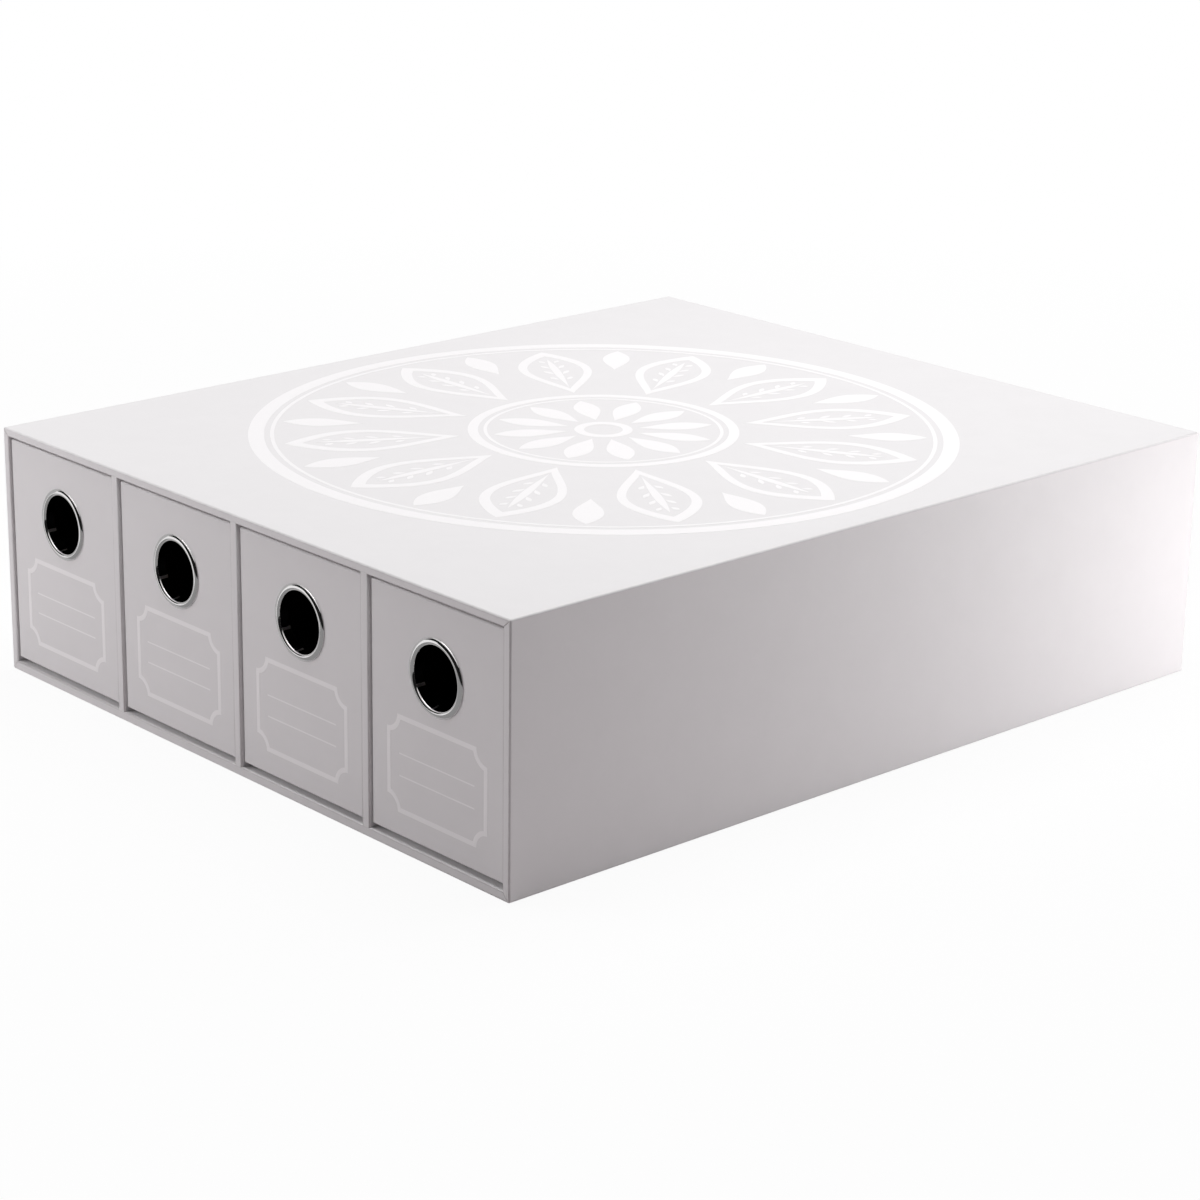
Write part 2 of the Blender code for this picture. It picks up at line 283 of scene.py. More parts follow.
def make_plating(name, colour, dull_colour, roughness, spread):
    """A plated metal whose gloss varies from place to place."""
    material, tree, shader, place = new_material(name)
    haze = add(
        tree,
        "ShaderNodeTexNoise",
        {"Vector": place, "Scale": 1 / SCRATCH, "Detail": 4, "Roughness": 0.6},
    ).outputs["Fac"]
    tint = add(
        tree,
        "ShaderNodeMixRGB",
        {"Fac": haze, "Color1": linear(colour), "Color2": linear(dull_colour)},
    )
    gloss = add(
        tree,
        "ShaderNodeMapRange",
        {"Value": haze, "To Min": roughness, "To Max": roughness + spread},
    )
    tree.links.new(tint.outputs[0], shader.inputs["Base Color"])
    tree.links.new(gloss.outputs[0], shader.inputs["Roughness"])
    shader.inputs["Metallic"].default_value = 1
    return material


chrome = make_plating("bright_chromed_steel", "EAE9E9", "DEDCDC", 0.03, 0.06)
nickel = make_plating("nickel_plated_steel", "CFCBC2", "BDB8AE", 0.22, 0.14)
print("metals:", chrome.name, nickel.name)

# %% [markdown]
# Each sheet of paper starts as a box of the size of its solid. The edges are rounded with a
# bevel, and the side where the box opens is inset and cut out. From that hole the paper is swept
# on into the box: first round the inner edge of the board, then straight in. That is how the
# real sheet is folded, and it leaves mitred corners, as it does.


# %% Helpers for folded paper
def block(low, high):
    """A box between two corners."""
    bm = bmesh.new()
    bmesh.ops.create_cube(bm, size=1)
    bmesh.ops.scale(bm, vec=high - low, verts=bm.verts)
    bmesh.ops.translate(bm, vec=(low + high) / 2, verts=bm.verts)
    return bm


def bevel(bm, edges, width, segments):
    return bmesh.ops.bevel(
        bm,
        geom=edges,
        offset=width,
        offset_type="OFFSET",
        affect="EDGES",
        segments=segments,
        profile=0.5,
        material=-1,
    )


def flat_side(bm, direction):
    """The large flat face that looks this way."""
    bm.normal_update()
    return max(bm.faces, key=lambda face: face.normal.dot(direction) * face.calc_area())


def cut_open(bm, direction, margin):
    """Cuts the middle out of a side and returns the edges of the hole."""
    face = flat_side(bm, direction)
    bmesh.ops.inset_region(bm, faces=[face], thickness=margin, use_even_offset=True)
    rim = list(face.edges)
    bmesh.ops.delete(bm, geom=[face], context="FACES")
    return rim


def quarter_turn(radius, steps):
    """The steps of (across, down) that go round a square edge with this radius."""
    angles = [math.pi / 2 * i / steps for i in range(steps + 1)]
    return [
        (radius * (math.sin(b) - math.sin(a)), radius * (math.cos(a) - math.cos(b)))
        for a, b in zip(angles, angles[1:])
    ]


def sweep_in(bm, rim, mouth, path):
    """Runs the rim of a square mouth inwards, with square corners."""
    verts = {vert for edge in rim for vert in edge.verts}
    middle = sum((vert.co for vert in verts), Vector()) / len(verts)
    for across, down in path:
        grown = bmesh.ops.extrude_edge_only(bm, edges=rim)["geom"]
        verts = {item for item in grown if isinstance(item, bmesh.types.BMVert)}
        rim = [
            item
            for item in grown
            if isinstance(item, bmesh.types.BMEdge) and verts.issuperset(item.verts)
        ]
        for vert in verts:
            way = middle - vert.co
            way -= way.dot(mouth) * mouth
            vert.co += across * Vector([(side > 0) - (side < 0) for side in way])
            vert.co -= down * mouth


print("a fold is swept in", len(quarter_turn(FOLD, FOLD_STEPS)), "steps")

# %% [markdown]
# When a sheet has its shape, the face attribute fold marks what is bent, for the rubbed folds in
# the paper's material. The mesh becomes a piece that rides on its body and stands for its solids,
# and a Solidify modifier gives the paper its thickness.

# %% Helpers for finished pieces
FLAT = 0.999  # share of a normal along one axis, above which a face counts as flat


def mark_folds(bm):
    """Marks and smooths what is bent, and leaves what is flat flat."""
    bm.normal_update()
    fold = bm.faces.layers.float.new("fold")
    for face in bm.faces:
        bent = max(abs(share) for share in face.normal) < FLAT
        face[fold] = bent
        face.smooth = bent


def piece(name, bm, material, body, slot, *nodes):
    """Makes a finished piece that moves with a body and stands for these solids."""
    mesh = bpy.data.meshes.new(name)
    bm.to_mesh(mesh)
    bm.free()
    mesh.materials.append(material)
    made = bpy.data.objects.new(name, mesh)
    bpy.context.scene.collection.objects.link(made)
    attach(made, body)
    if nodes:
        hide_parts(*nodes)
    print(name, "has", len(mesh.polygons), "faces")
    return made


def give_thickness(sheet):
    """Thickens a sheet inwards, so that its outside stays where it is."""
    solidify = sheet.modifiers.new("paper", "SOLIDIFY")
    solidify.thickness = PAPER
    solidify.offset = -1
    solidify.use_even_offset = True


print("paper is", round(PAPER / MM, 2), "mm thick")

# %% [markdown]
# The cover of the case is one sheet, wrapped round top, sides, back and base, and turned in at
# the front. Where two flaps meet at a corner the paper is cut, which shows as a fine slanted
# seam. The seam is real here too: the slanted edge is bevelled to a narrow strip, and the strip
# is deleted. The top lies lower than its solid by the thickness of the ink, which then ends
# exactly at the size of the box. The whole mouth sits a little higher than that of the solid.

# %% Wrap the case
CASE_WALL = 3.6 * MM
CASE_FOLD = 0.8 * MM  # outer radius round the edges of the case, where its boards meet
MOUTH_RISE = 0.28 * MM
CASE_TURN_IN = 18 * MM
CASE_MARGIN = 15 * MM
SEAM = 0.12 * MM
SLANT = 0.7  # least share between the two runs of an edge that counts as slanted


def open_seams(bm, direction):
    """Cuts the flaps of a side apart where they lie flat and meet at a slanted edge."""
    bm.normal_update()
    slanted = []
    for edge in bm.edges:
        run = edge.verts[0].co - edge.verts[1].co
        run -= run.dot(direction) * direction
        sides = sorted(abs(side) for side in run)[1:]
        flat = all(face.normal.dot(direction) > FLAT for face in edge.link_faces)
        if flat and not edge.is_boundary and sides[0] > SLANT * sides[1] > 0:
            slanted.append(edge)
    strips = bevel(bm, slanted, SEAM, 1)["faces"]
    bmesh.ops.delete(bm, geom=strips, context="FACES")


bm = block(case_low, case_high - PRINT * UP)
bevel(bm, bm.edges[:], CASE_FOLD, FOLD_STEPS)
for side in (BACK, DOWN):
    cut_open(bm, side, CASE_MARGIN - CASE_FOLD)
mouth = cut_open(bm, FRONT, CASE_WALL - CASE_FOLD - FOLD)
for vert in {vert for edge in mouth for vert in edge.verts}:
    vert.co += MOUTH_RISE * UP
sweep_in(bm, mouth, FRONT, quarter_turn(FOLD, FOLD_STEPS) + [(0, CASE_TURN_IN - FOLD)])
for side in (FRONT, BACK, DOWN):
    open_seams(bm, side)
mark_folds(bm)
give_thickness(piece("case_paper", bm, white_paper, "case", "cover_paper", "case_cover"))

# %% [markdown]
# A divider shows only its front edge, with paper folded round it. The fold bulges a little, so it
# stands in front of its solid. The ends of the paper are trimmed to the round of the rim above
# and below, so that they meet it without a gap.

# %% Cover the dividers
DIVIDER_FOLD = 0.8 * MM
DIVIDER_BULGE = 0.25 * MM
TRIM = 0.05 * MM  # clearance between the trimmed end and the rim


def rim_height(depth):
    """How far the inner side of the rim stands in from the outside, this deep in the mouth."""
    if depth >= FOLD:
        return CASE_WALL
    return CASE_WALL - FOLD + math.sqrt(FOLD**2 - (FOLD - depth) ** 2)


for number in DIVIDERS:
    low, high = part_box(f"divider_cover_{number}")
    bm = block(low + DIVIDER_BULGE * FRONT, high)
    for side in (BACK, UP, DOWN):
        bmesh.ops.delete(bm, geom=[flat_side(bm, side)], context="FACES")
    upright = [edge for edge in flat_side(bm, FRONT).edges if not edge.is_boundary]
    bevel(bm, upright, DIVIDER_FOLD, FOLD_STEPS)
    middle = (low.z + high.z) / 2
    for vert in bm.verts:
        end = rim_height(vert.co.y - case_low.y) + TRIM
        vert.co.z = case_low.z + end if vert.co.z < middle else case_high.z - PRINT - end
        vert.co.z += MOUTH_RISE
    mark_folds(bm)
    paper = piece(
        f"divider_paper_{number}",
        bm,
        white_paper,
        "case",
        "cover_paper",
        f"divider_cover_{number}",
    )
    give_thickness(paper)

# %% [markdown]
# A drawer is wrapped like the case, but it opens upwards, and its paper is pulled closer to the
# boards above and below. Its front has a punched hole. A face with a hole in it can't be one
# polygon, so the front face is taken out, a circle is set in its place and the surface between
# the two outlines is filled.

# %% Wrap the drawers
TRAY_WALL = 2.7 * MM
TRAY_TURN_IN = 12 * MM
TRAY_MARGIN = 14 * MM
TRAY_PULL = 0.25 * MM
PUNCH_RADIUS = 12.9 * MM
PUNCH_STEPS = 96
FACE_TURN = Matrix.Rotation(math.radians(90), 4, "X")  # turns +Z to the front


def eyelet_centre(number):
    """The middle of a finger hole, in the plane of the drawer's face."""
    low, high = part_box(f"drawer_{number}_eyelet")
    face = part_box(f"drawer_{number}_cover")[0].y
    return Vector(((low.x + high.x) / 2, face, (low.z + high.z) / 2))


def punch(bm, direction, centre):
    """Makes the finger hole in a flat side."""
    face = flat_side(bm, direction)
    border = list(face.edges)
    bmesh.ops.delete(bm, geom=[face], context="FACES_ONLY")
    place = Matrix.Translation(centre) @ FACE_TURN
    hole = bmesh.ops.create_circle(bm, segments=PUNCH_STEPS, radius=PUNCH_RADIUS, matrix=place)
    ring = list({edge for vert in hole["verts"] for edge in vert.link_edges})
    bmesh.ops.triangle_fill(bm, use_beauty=True, edges=border + ring, normal=direction)


for number in DRAWERS:
    low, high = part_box(f"drawer_{number}_cover")
    bm = block(low + TRAY_PULL * UP, high - TRAY_PULL * UP)
    bevel(bm, bm.edges[:], FOLD, FOLD_STEPS)
    cut_open(bm, DOWN, TRAY_MARGIN - FOLD)
    mouth = cut_open(bm, UP, TRAY_WALL - 2 * FOLD)
    sweep_in(bm, mouth, UP, quarter_turn(FOLD, FOLD_STEPS) + [(0, TRAY_TURN_IN - FOLD)])
    for side in (UP, DOWN):
        open_seams(bm, side)
    punch(bm, FRONT, eyelet_centre(number))
    mark_folds(bm)
    paper = piece(
        f"drawer_{number}_paper",
        bm,
        white_paper,
        f"drawer_{number}",
        "cover_paper",
        f"drawer_{number}_cover",
    )
    give_thickness(paper)

# %% [markdown]
# A ring is its cross-section spun round an axis, so only the section has to be drawn: arcs for
# what is round, and straight runs between them.

# %% Helpers for turned rings
SPIN_STEPS = 128


def arc(centre, radii, start, end, steps):
    """Points on an arc or an ellipse, from one angle in degrees to another."""
    angles = [math.radians(start + (end - start) * i / steps) for i in range(steps + 1)]
    return [
        (centre[0] + radii[0] * math.cos(angle), centre[1] + radii[1] * math.sin(angle))
        for angle in angles
    ]


def turned_ring(profile, centre):
    """Spins a closed section of (radius, height) round the axis of a hole."""
    bm = bmesh.new()
    verts = [bm.verts.new(centre + Vector((radius, -height, 0))) for radius, height in profile]
    edges = [bm.edges.new(pair) for pair in zip(verts, verts[1:] + verts[:1])]
    bmesh.ops.spin(
        bm,
        geom=verts + edges,
        cent=centre,
        axis=FRONT,
        angle=math.tau,
        steps=SPIN_STEPS,
        use_merge=True,
    )
    bmesh.ops.recalc_face_normals(bm, faces=bm.faces)
    for face in bm.faces:
        face.smooth = True
    return bm


print("a ring is turned in", SPIN_STEPS, "steps")

# %% [markdown]
# An eyelet is one pressed ring: a domed flange in front, a barrel through the wall, and a lip
# that is rolled over a washer inside. The dome is two quarter ellipses that meet at its crest,
# which is nearer to the bore than to the edge.

# %% Turn the eyelets and the washers
BORE = 12.1 * MM
BARREL = 12.6 * MM
FLANGE = 14.9 * MM
FLANGE_HEIGHT = 0.9 * MM
SEAT = 0.1 * MM  # clearance between metal and paper
CREST = 13.2 * MM  # radius at which the flange stands highest
LIP_FILLET = 0.3 * MM
LIP_WIDTH = 1 * MM
LIP_ROUND = 0.2 * MM
WASHER = 14.3 * MM
WASHER_THICKNESS = 0.5 * MM
WASHER_ROUND = 0.12 * MM
WASHER_GAP = 0.3 * MM
OUTER_DOME_STEPS, INNER_DOME_STEPS = 16, 14
PAST_CREST = 5  # degrees, so that the second ellipse doesn't repeat the crest
ROLL_STEPS = 8
LIP_STEPS = 6
WASHER_STEPS = 3

washer_front = -TRAY_WALL - WASHER_GAP
washer_back = washer_front - WASHER_THICKNESS
roll = (BARREL + LIP_FILLET, washer_back - WASHER_GAP + LIP_FILLET)
outer_roll = LIP_FILLET + BARREL - BORE
lip_edge = (roll[0] + LIP_WIDTH - LIP_ROUND, roll[1] - (outer_roll + LIP_FILLET) / 2)
rise = FLANGE_HEIGHT - SEAT
eyelet_section = (
    arc((CREST, SEAT), (FLANGE - CREST, rise), 0, 90, OUTER_DOME_STEPS)
    + arc((CREST, SEAT), (CREST - BORE, rise), 90 + PAST_CREST, 180, INNER_DOME_STEPS)
    + arc(roll, (outer_roll, outer_roll), 180, 270, ROLL_STEPS)
    + arc(lip_edge, (LIP_ROUND, (outer_roll - LIP_FILLET) / 2), -90, 90, LIP_STEPS)
    + arc(roll, (LIP_FILLET, LIP_FILLET), 270, 180, LIP_STEPS)
    + [(BARREL, SEAT)]
)
washer_corners = (
    (WASHER - WASHER_ROUND, washer_front - WASHER_ROUND, 0),
    (PUNCH_RADIUS + WASHER_ROUND, washer_front - WASHER_ROUND, 90),
    (PUNCH_RADIUS + WASHER_ROUND, washer_back + WASHER_ROUND, 180),
    (WASHER - WASHER_ROUND, washer_back + WASHER_ROUND, 270),
)
washer_section = []
for radius, height, start in washer_corners:
    corner = (radius, height)
    washer_section += arc(corner, (WASHER_ROUND, WASHER_ROUND), start, start + 90, WASHER_STEPS)
for number in DRAWERS:
    for name, section, metal in (
        ("eyelet", eyelet_section, chrome),
        ("washer", washer_section, nickel),
    ):
        piece(
            f"drawer_{number}_{name}_ring",
            turned_ring(section, eyelet_centre(number)),
            metal,
            f"drawer_{number}",
            "chrome",
            f"drawer_{number}_{name}",
        )

# %% [markdown]
# Under each finger hole a label frame is printed, with two lines to write on. The frame is a
# plain one with scooped corners. It is drawn as an outer and an inner outline, the surface
# between them is bridged, and an extrusion gives the film of ink its thickness.

# %% Print the label frames
LABEL_WIDTH = 56 * MM
LABEL_HEIGHT = 38 * MM
LABEL_MIDDLE = 34 * MM  # above the ground
LABEL_LINE = 1.9 * MM
SCOOP = 6 * MM
SCOOP_STEPS = 10
WRITING_LINE = 0.55 * MM
WRITING_WIDTH = 42 * MM
WRITING_HEIGHTS = (38 * MM, 29.4 * MM)
INK_BITE = 0.02 * MM  # how far the ink reaches into the paper


def outline(bm, points):
    """A closed loop of edges through flat points."""
    verts = [bm.verts.new((x, y, 0)) for x, y in points]
    return [bm.edges.new(pair) for pair in zip(verts, verts[1:] + verts[:1])]


def scooped(inset):
    """The outline of the label frame, or one inside it with its line's width between them."""
    points = []
    radius = SCOOP + inset
    spare = math.degrees(math.asin(inset / radius))
    for x, y, start in ((1, 1, 180), (-1, 1, 270), (-1, -1, 0), (1, -1, 90)):
        corner = (x * LABEL_WIDTH / 2, y * LABEL_HEIGHT / 2)
        turn = (start + 90 - spare, start + spare)
        points += arc(corner, (radius, radius), *turn, SCOOP_STEPS)
    return points


def thicken(bm):
    """Turns flat ink at height zero into a film that bites into the paper."""
    bmesh.ops.recalc_face_normals(bm, faces=bm.faces)
    grown = bmesh.ops.extrude_face_region(bm, geom=bm.faces[:], use_keep_orig=True)["geom"]
    raised = [item for item in grown if isinstance(item, bmesh.types.BMVert)]
    bmesh.ops.translate(bm, vec=-(INK_BITE + PRINT) * UP, verts=raised)
    bmesh.ops.translate(bm, vec=PRINT * UP, verts=bm.verts)
    bmesh.ops.recalc_face_normals(bm, faces=bm.faces)


for number in DRAWERS:
    bm = bmesh.new()
    edges = outline(bm, scooped(0)) + outline(bm, scooped(LABEL_LINE))
    bmesh.ops.bridge_loops(bm, edges=edges)
    for height in WRITING_HEIGHTS:
        low = Vector((-WRITING_WIDTH / 2, height - LABEL_MIDDLE - WRITING_LINE / 2))
        high = Vector((WRITING_WIDTH / 2, height - LABEL_MIDDLE + WRITING_LINE / 2))
        line = outline(bm, [(low.x, low.y), (high.x, low.y), (high.x, high.y), (low.x, high.y)])
        bmesh.ops.contextual_create(bm, geom=line)
    thicken(bm)
    centre = eyelet_centre(number)
    centre.z = LABEL_MIDDLE
    bmesh.ops.transform(bm, matrix=Matrix.Translation(centre) @ FACE_TURN, verts=bm.verts)
    piece(
        f"drawer_{number}_label_frame",
        bm,
        white_ink,
        f"drawer_{number}",
        "cover_paper",
    )

# %% [markdown]
# The top carries a large white pattern on white. Here it is a plain rosette in rings: drops in
# the middle, then veined leaves with small leaves between them, and bands round it all. First
# come the motifs, which are drawn from sines and arcs along +X.

# %% Draw leaves and circles
LEAVES = 12
LEAF = (60 * MM, 132 * MM, 16 * MM)  # from, to, half width
LEAF_LINE = 3.8 * MM
LEAF_TIP = 1.9  # a line inside a leaf stays away from its tips by this many times its width
LEAF_SKEW = 1.25  # puts the widest place beyond the middle
LEAF_FULLNESS = 0.9  # below 1 the sides are fuller than a sine
SMALL_LEAF = (100 * MM, 133 * MM, 6 * MM)
DROP = (15 * MM, 46 * MM, 5.4 * MM)
VEIN = (70 * MM, 119 * MM, 1.8 * MM)
MOTIF_STEPS = 20
BAND_STEPS = 144


def leaf(near, far, half_width, inset=0.0):
    """A pointed leaf along +X, or the same drawn in by an inset."""
    near += LEAF_TIP * inset
    far -= LEAF_TIP * inset
    half_width -= inset
    shares = [i / MOTIF_STEPS for i in range(MOTIF_STEPS + 1)]
    side = [
        (
            near + (far - near) * share,
            half_width * math.sin(math.pi * share**LEAF_SKEW) ** LEAF_FULLNESS,
        )
        for share in shares
    ]
    return side + [(x, -y) for x, y in side[-2:0:-1]]


def slanted_leaf(start, length, half_width, angle):
    """A side vein: a thin leaf that leaves the vein at an angle in degrees."""
    turn = math.radians(angle)
    return [
        (
            start + x * math.cos(turn) - y * math.sin(turn),
            x * math.sin(turn) + y * math.cos(turn),
        )
        for x, y in leaf(2 * VEIN[2], length, half_width)
    ]


def circle(radius):
    """A round outline whose last point isn't its first again."""
    return arc((0, 0), (radius, radius), 0, 360 - 360 / BAND_STEPS, BAND_STEPS - 1)


def fill(bm, points):
    bmesh.ops.contextual_create(bm, geom=outline(bm, points))


def repeat_round(bm):
    """Sets all that is drawn round the middle, once for each leaf."""
    bmesh.ops.spin(
        bm,
        geom=bm.verts[:] + bm.edges[:] + bm.faces[:],
        cent=(0, 0, 0),
        axis=UP,
        angle=math.tau * (LEAVES - 1) / LEAVES,
        steps=LEAVES - 1,
        use_duplicate=True,
    )


print("the rosette has", LEAVES, "leaves of", round((LEAF[1] - LEAF[0]) / MM), "mm")

# %% [markdown]
# Each motif is drawn once and repeated round the middle. The small leaves are turned by half a
# step first, so they are drawn apart and added afterwards. Then the bands are drawn, and the whole
# print gets its thickness and is moved onto the top.

# %% Print the rosette
SIDE_VEINS = 4
SIDE_VEIN_SHARES = (0.2, 0.8)  # of the vein, where its side veins start
SIDE_VEIN = (11 * MM, 1.1 * MM)  # length, half width
SIDE_VEIN_ANGLE = 32  # degrees
SIDE_VEIN_FADE, SIDE_VEIN_PEAK = 0.35, 0.9  # towards both ends the side veins get shorter
BANDS = (
    (146 * MM, 6.5 * MM),  # outer radius, width
    (137 * MM, 1.6 * MM),
    (56 * MM, 4.2 * MM),
    (49.5 * MM, 1.4 * MM),
    (12 * MM, 4 * MM),
)

bm = bmesh.new()
bmesh.ops.bridge_loops(bm, edges=outline(bm, leaf(*LEAF)) + outline(bm, leaf(*LEAF, LEAF_LINE)))
fill(bm, leaf(*VEIN))
first, last = SIDE_VEIN_SHARES
for i in range(SIDE_VEINS):
    share = first + (last - first) * i / (SIDE_VEINS - 1)
    start = VEIN[0] + (VEIN[1] - VEIN[0]) * share
    reach = SIDE_VEIN[0] * (1 - SIDE_VEIN_FADE * abs(2 * share - SIDE_VEIN_PEAK))
    for angle in (-SIDE_VEIN_ANGLE, SIDE_VEIN_ANGLE):
        fill(bm, slanted_leaf(start, reach, SIDE_VEIN[1], angle))
fill(bm, leaf(*DROP))
repeat_round(bm)

small = bmesh.new()
fill(small, leaf(*SMALL_LEAF))
half_step = Matrix.Rotation(math.pi / LEAVES, 3, "Z")
bmesh.ops.rotate(small, cent=(0, 0, 0), matrix=half_step, verts=small.verts)
repeat_round(small)
small_mesh = bpy.data.meshes.new("small_leaves")
small.to_mesh(small_mesh)
small.free()
bm.from_mesh(small_mesh)

for radius, width in BANDS:
    edges = outline(bm, circle(radius)) + outline(bm, circle(radius - width))
    bmesh.ops.bridge_loops(bm, edges=edges)
thicken(bm)
middle = (case_low + case_high) / 2
bmesh.ops.translate(bm, vec=(middle.x, middle.y, case_high.z - PRINT), verts=bm.verts)
piece("top_rosette", bm, white_ink, "case", "cover_paper")

# %% [markdown]
# The other solids have the right shape already. They only get their finish, by the slot that
# the record gives them: paper, lining, board or plating.

# %% Finish the other solids
FINISHES = {
    "cover_paper": white_paper,
    "lining_paper": black_paper,
    "greyboard": greyboard,
    "chrome": chrome,
}

for part in frame["record"]["subparts"]:
    node = frame["nodes"][part["node"]]
    node.material_slots[0].material = FINISHES[part["material_slot"]]

# %% [markdown]
# The studio is a pale floor under a white sky. Whoever looks at them sees white: the camera, clear
# things and mirrors, from which the floor is hidden so that they see the sky in its place. The
# light that they send to the box is another matter: it is weak, and faintly pink as the
# photograph's shadows are. Near the box the floor keeps a little of its own shade, so that the box
# has a shadow to stand on.

# %% Lay the floor
FLOOR_BOUNCE = "D6CFD1"
FLOOR_SHADE = "F4F4F5"
FLOOR_SIZE = 8
FLOOR_DROP = 0.2 * MM
NEAR_WHITE = 0.93  # share of pure white in the floor near the box
NEAR, FAR = 0.35, 0.9  # metres from the middle, where the floor starts and ends to turn white


def looked_at(tree):
    """1 for rays from the camera, a mirror or a clear thing, and 0 for rays that gather light."""
    path = add(tree, "ShaderNodeLightPath", {})
    seen = path.outputs["Is Camera Ray"]
    for kind in ("Is Glossy Ray", "Is Transmission Ray"):
        inputs = {0: seen, 1: path.outputs[kind]}
        seen = add(tree, "ShaderNodeMath", inputs, operation="MAXIMUM").outputs[0]
    return seen


def make_floor():
    material, tree, shader = new_material("pale_floor")[:3]
    tree.nodes.remove(shader)
    seen = looked_at(tree)
    tone = add(
        tree,
        "ShaderNodeMixRGB",
        {"Fac": seen, "Color1": linear(FLOOR_BOUNCE), "Color2": linear(FLOOR_SHADE)},
    )
    matt = add(tree, "ShaderNodeBsdfDiffuse", {"Color": tone.outputs[0]})
    white = add(tree, "ShaderNodeEmission", {"Color": linear("FFFFFF"), "Strength": 1})
    spot = add(tree, "ShaderNodeNewGeometry", {}).outputs["Position"]
    away = add(tree, "ShaderNodeVectorMath", {0: spot}, operation="LENGTH").outputs["Value"]
    whiter = add(
        tree,
        "ShaderNodeMapRange",
        {"Value": away, "From Min": NEAR, "From Max": FAR, "To Min": NEAR_WHITE, "To Max": 1},
    )
    share = add(tree, "ShaderNodeMath", {0: seen, 1: whiter.outputs[0]}, operation="MULTIPLY")
    mixed = add(
        tree,
        "ShaderNodeMixShader",
        {0: share.outputs[0], 1: matt.outputs[0], 2: white.outputs[0]},
    )
    tree.links.new(mixed.outputs[0], tree.nodes["Material Output"].inputs["Surface"])
    return material


def add_to_stage(name, bm, *materials):
    """Makes an object of the studio, which isn't part of the box."""
    mesh = bpy.data.meshes.new(name)
    bm.to_mesh(mesh)
    bm.free()
    for material in materials:
        mesh.materials.append(material)
    made = bpy.data.objects.new(name, mesh)
    bpy.context.scene.collection.objects.link(made)
    return made


bm = bmesh.new()
bmesh.ops.create_grid(bm, x_segments=1, y_segments=1, size=FLOOR_SIZE / 2)
bmesh.ops.translate(bm, vec=(0, 0, case_low.z - FLOOR_DROP), verts=bm.verts)
floor = add_to_stage("floor", bm, make_floor())
floor.visible_glossy = False
print("the floor measures", FLOOR_SIZE, "m")

# %% [markdown]
# The sky is the world's background. A strength of 1 is white; what lights the box is far below.

# %% Hang the sky
AMBIENT = "363435"

world = bpy.data.worlds.new("white_sky")
bpy.context.scene.world = world
world.use_nodes = True
sky = world.node_tree
light = add(
    sky,
    "ShaderNodeMixRGB",
    {"Fac": looked_at(sky), "Color1": linear(AMBIENT), "Color2": linear("FFFFFF")},
)
sky.links.new(light.outputs[0], sky.nodes["Background"].inputs["Color"])
print("the sky lights the box with", [round(share, 3) for share in linear(AMBIENT)[:3]])

# %% [markdown]
# Softboxes light each side on its own: two overhead, two low down at the right, and two at the
# left front. The left ones are hidden from mirrors, because the photograph's chrome shows none.
# The right ones are small and near the ground, so the right side is as bright below as above.


# %% Set up the softboxes
def softbox(name, place, aim, size, power, mirrored=True):
    """A soft lamp that faces a point."""
    lamp = bpy.data.lights.new(name, "AREA")
    lamp.size = size
    lamp.energy = power
    made = bpy.data.objects.new(name, lamp)
    made.location = place
    made.rotation_mode = "QUATERNION"
    made.rotation_quaternion = (Vector(aim) - Vector(place)).to_track_quat("-Z", "Y")
    made.visible_camera = False
    made.visible_glossy = mirrored
    bpy.context.scene.collection.objects.link(made)
    print(name, "gives", power, "W")


softbox("overhead", (0, 0, 1.3), (0, 0, 0.1), 1, 10.6)
softbox("overhead_back", (0, 0.9, 1.2), (0, 0.05, 0.05), 1, 8.8)
softbox("right_back", (0.5, 0.36, 0.05), (0.16, 0.1, 0.02), 0.08, 0.76)
softbox("right_near", (0.34, 0.3, 0.03), (0.16, 0.16, 0.01), 0.05, 0.14)
softbox("left_front", (-0.9, -1.1, 0.5), (0, -0.1, 0.05), 0.8, 6.2, False)
softbox("left_near", (-0.42, -0.5, 0.2), (-0.1, -0.18, 0.05), 0.35, 0.46, False)

# %% [markdown]
# Chrome shows nothing but the room, so the room has to be made as well. Photographers hang cards
# round a shiny thing for this. Here they are a shell of cards round the front, which only mirrors
# see: grey below, lighter grey at the left, and black cloth in front, with one gap that lets the
# white sky through. Each eyelet then has a bright crest and a dark outer side.

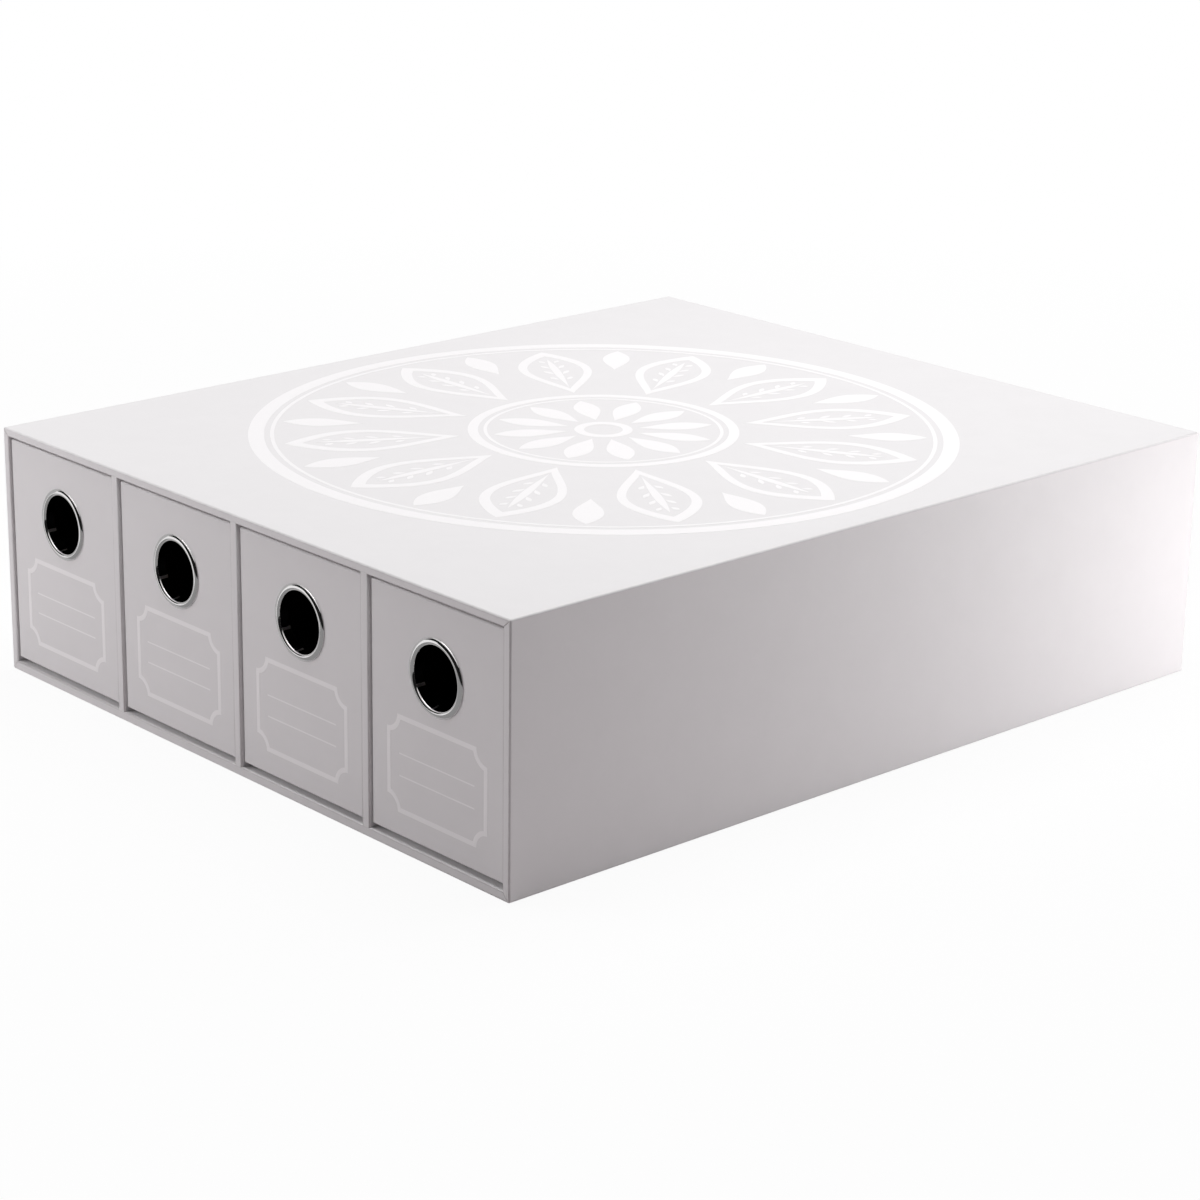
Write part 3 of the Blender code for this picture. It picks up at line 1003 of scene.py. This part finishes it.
# %% Hang the cards for the chrome
CARD_RADIUS = 2.4
CARD_STEP = 3  # degrees round the box
CARD_START, CARD_END = -135, 90  # degrees from straight ahead, to the left and to the right
LEFT_END, GAP_END = -60, -42  # where the gap is, round the box
LOW_GAP, GREY_END, HIGH_GAP = -19, -13, 0  # degrees above the level of the finger holes
CARD_HEIGHTS = (-89, LOW_GAP, GREY_END, HIGH_GAP, 33)
CARD_SHADES = {"black_card": 0.012, "grey_card": 0.3, "light_grey_card": 0.5}


def make_card(name, shade):
    """A card that is equally bright all over, whatever light falls on it."""
    material, tree, shader = new_material(name)[:3]
    tree.nodes.remove(shader)
    glow = add(tree, "ShaderNodeEmission", {"Color": [shade, shade, shade, 1], "Strength": 1})
    tree.links.new(glow.outputs[0], tree.nodes["Material Output"].inputs["Surface"])
    return material


holes = sum((eyelet_centre(number) for number in DRAWERS), Vector()) / len(DRAWERS)
bm = bmesh.new()
column = [
    bm.verts.new(holes + CARD_RADIUS * Vector((0, -math.cos(height), math.sin(height))))
    for height in map(math.radians, CARD_HEIGHTS)
]
seam = [bm.edges.new(pair) for pair in zip(column, column[1:])]
turn = Matrix.Rotation(math.radians(CARD_START), 3, "Z")
bmesh.ops.rotate(bm, cent=holes, matrix=turn, verts=bm.verts)
bmesh.ops.spin(
    bm,
    geom=column + seam,
    cent=holes,
    axis=UP,
    angle=math.radians(CARD_END - CARD_START),
    steps=(CARD_END - CARD_START) // CARD_STEP,
)
shades = list(CARD_SHADES)
gap = []
for face in bm.faces:
    way = face.calc_center_median() - holes
    round_about = math.degrees(math.atan2(way.x, -way.y))
    height = math.degrees(math.atan2(way.z, math.hypot(way.x, way.y)))
    if LEFT_END < round_about < GAP_END and LOW_GAP < height < HIGH_GAP:
        gap.append(face)
    elif round_about < LEFT_END:
        face.material_index = shades.index("light_grey_card")
    elif height < GREY_END:
        face.material_index = shades.index("grey_card")
bmesh.ops.delete(bm, geom=gap, context="FACES")
cards = add_to_stage("cards", bm, *(make_card(*pair) for pair in CARD_SHADES.items()))
cards.visible_camera = False
cards.visible_diffuse = False
cards.visible_shadow = False
print("the cards have", len(cards.data.polygons), "faces")

# %% [markdown]
# The picture is shown as it is reckoned, without a film look.

# %% Finish
bpy.context.scene.view_settings.view_transform = "Standard"
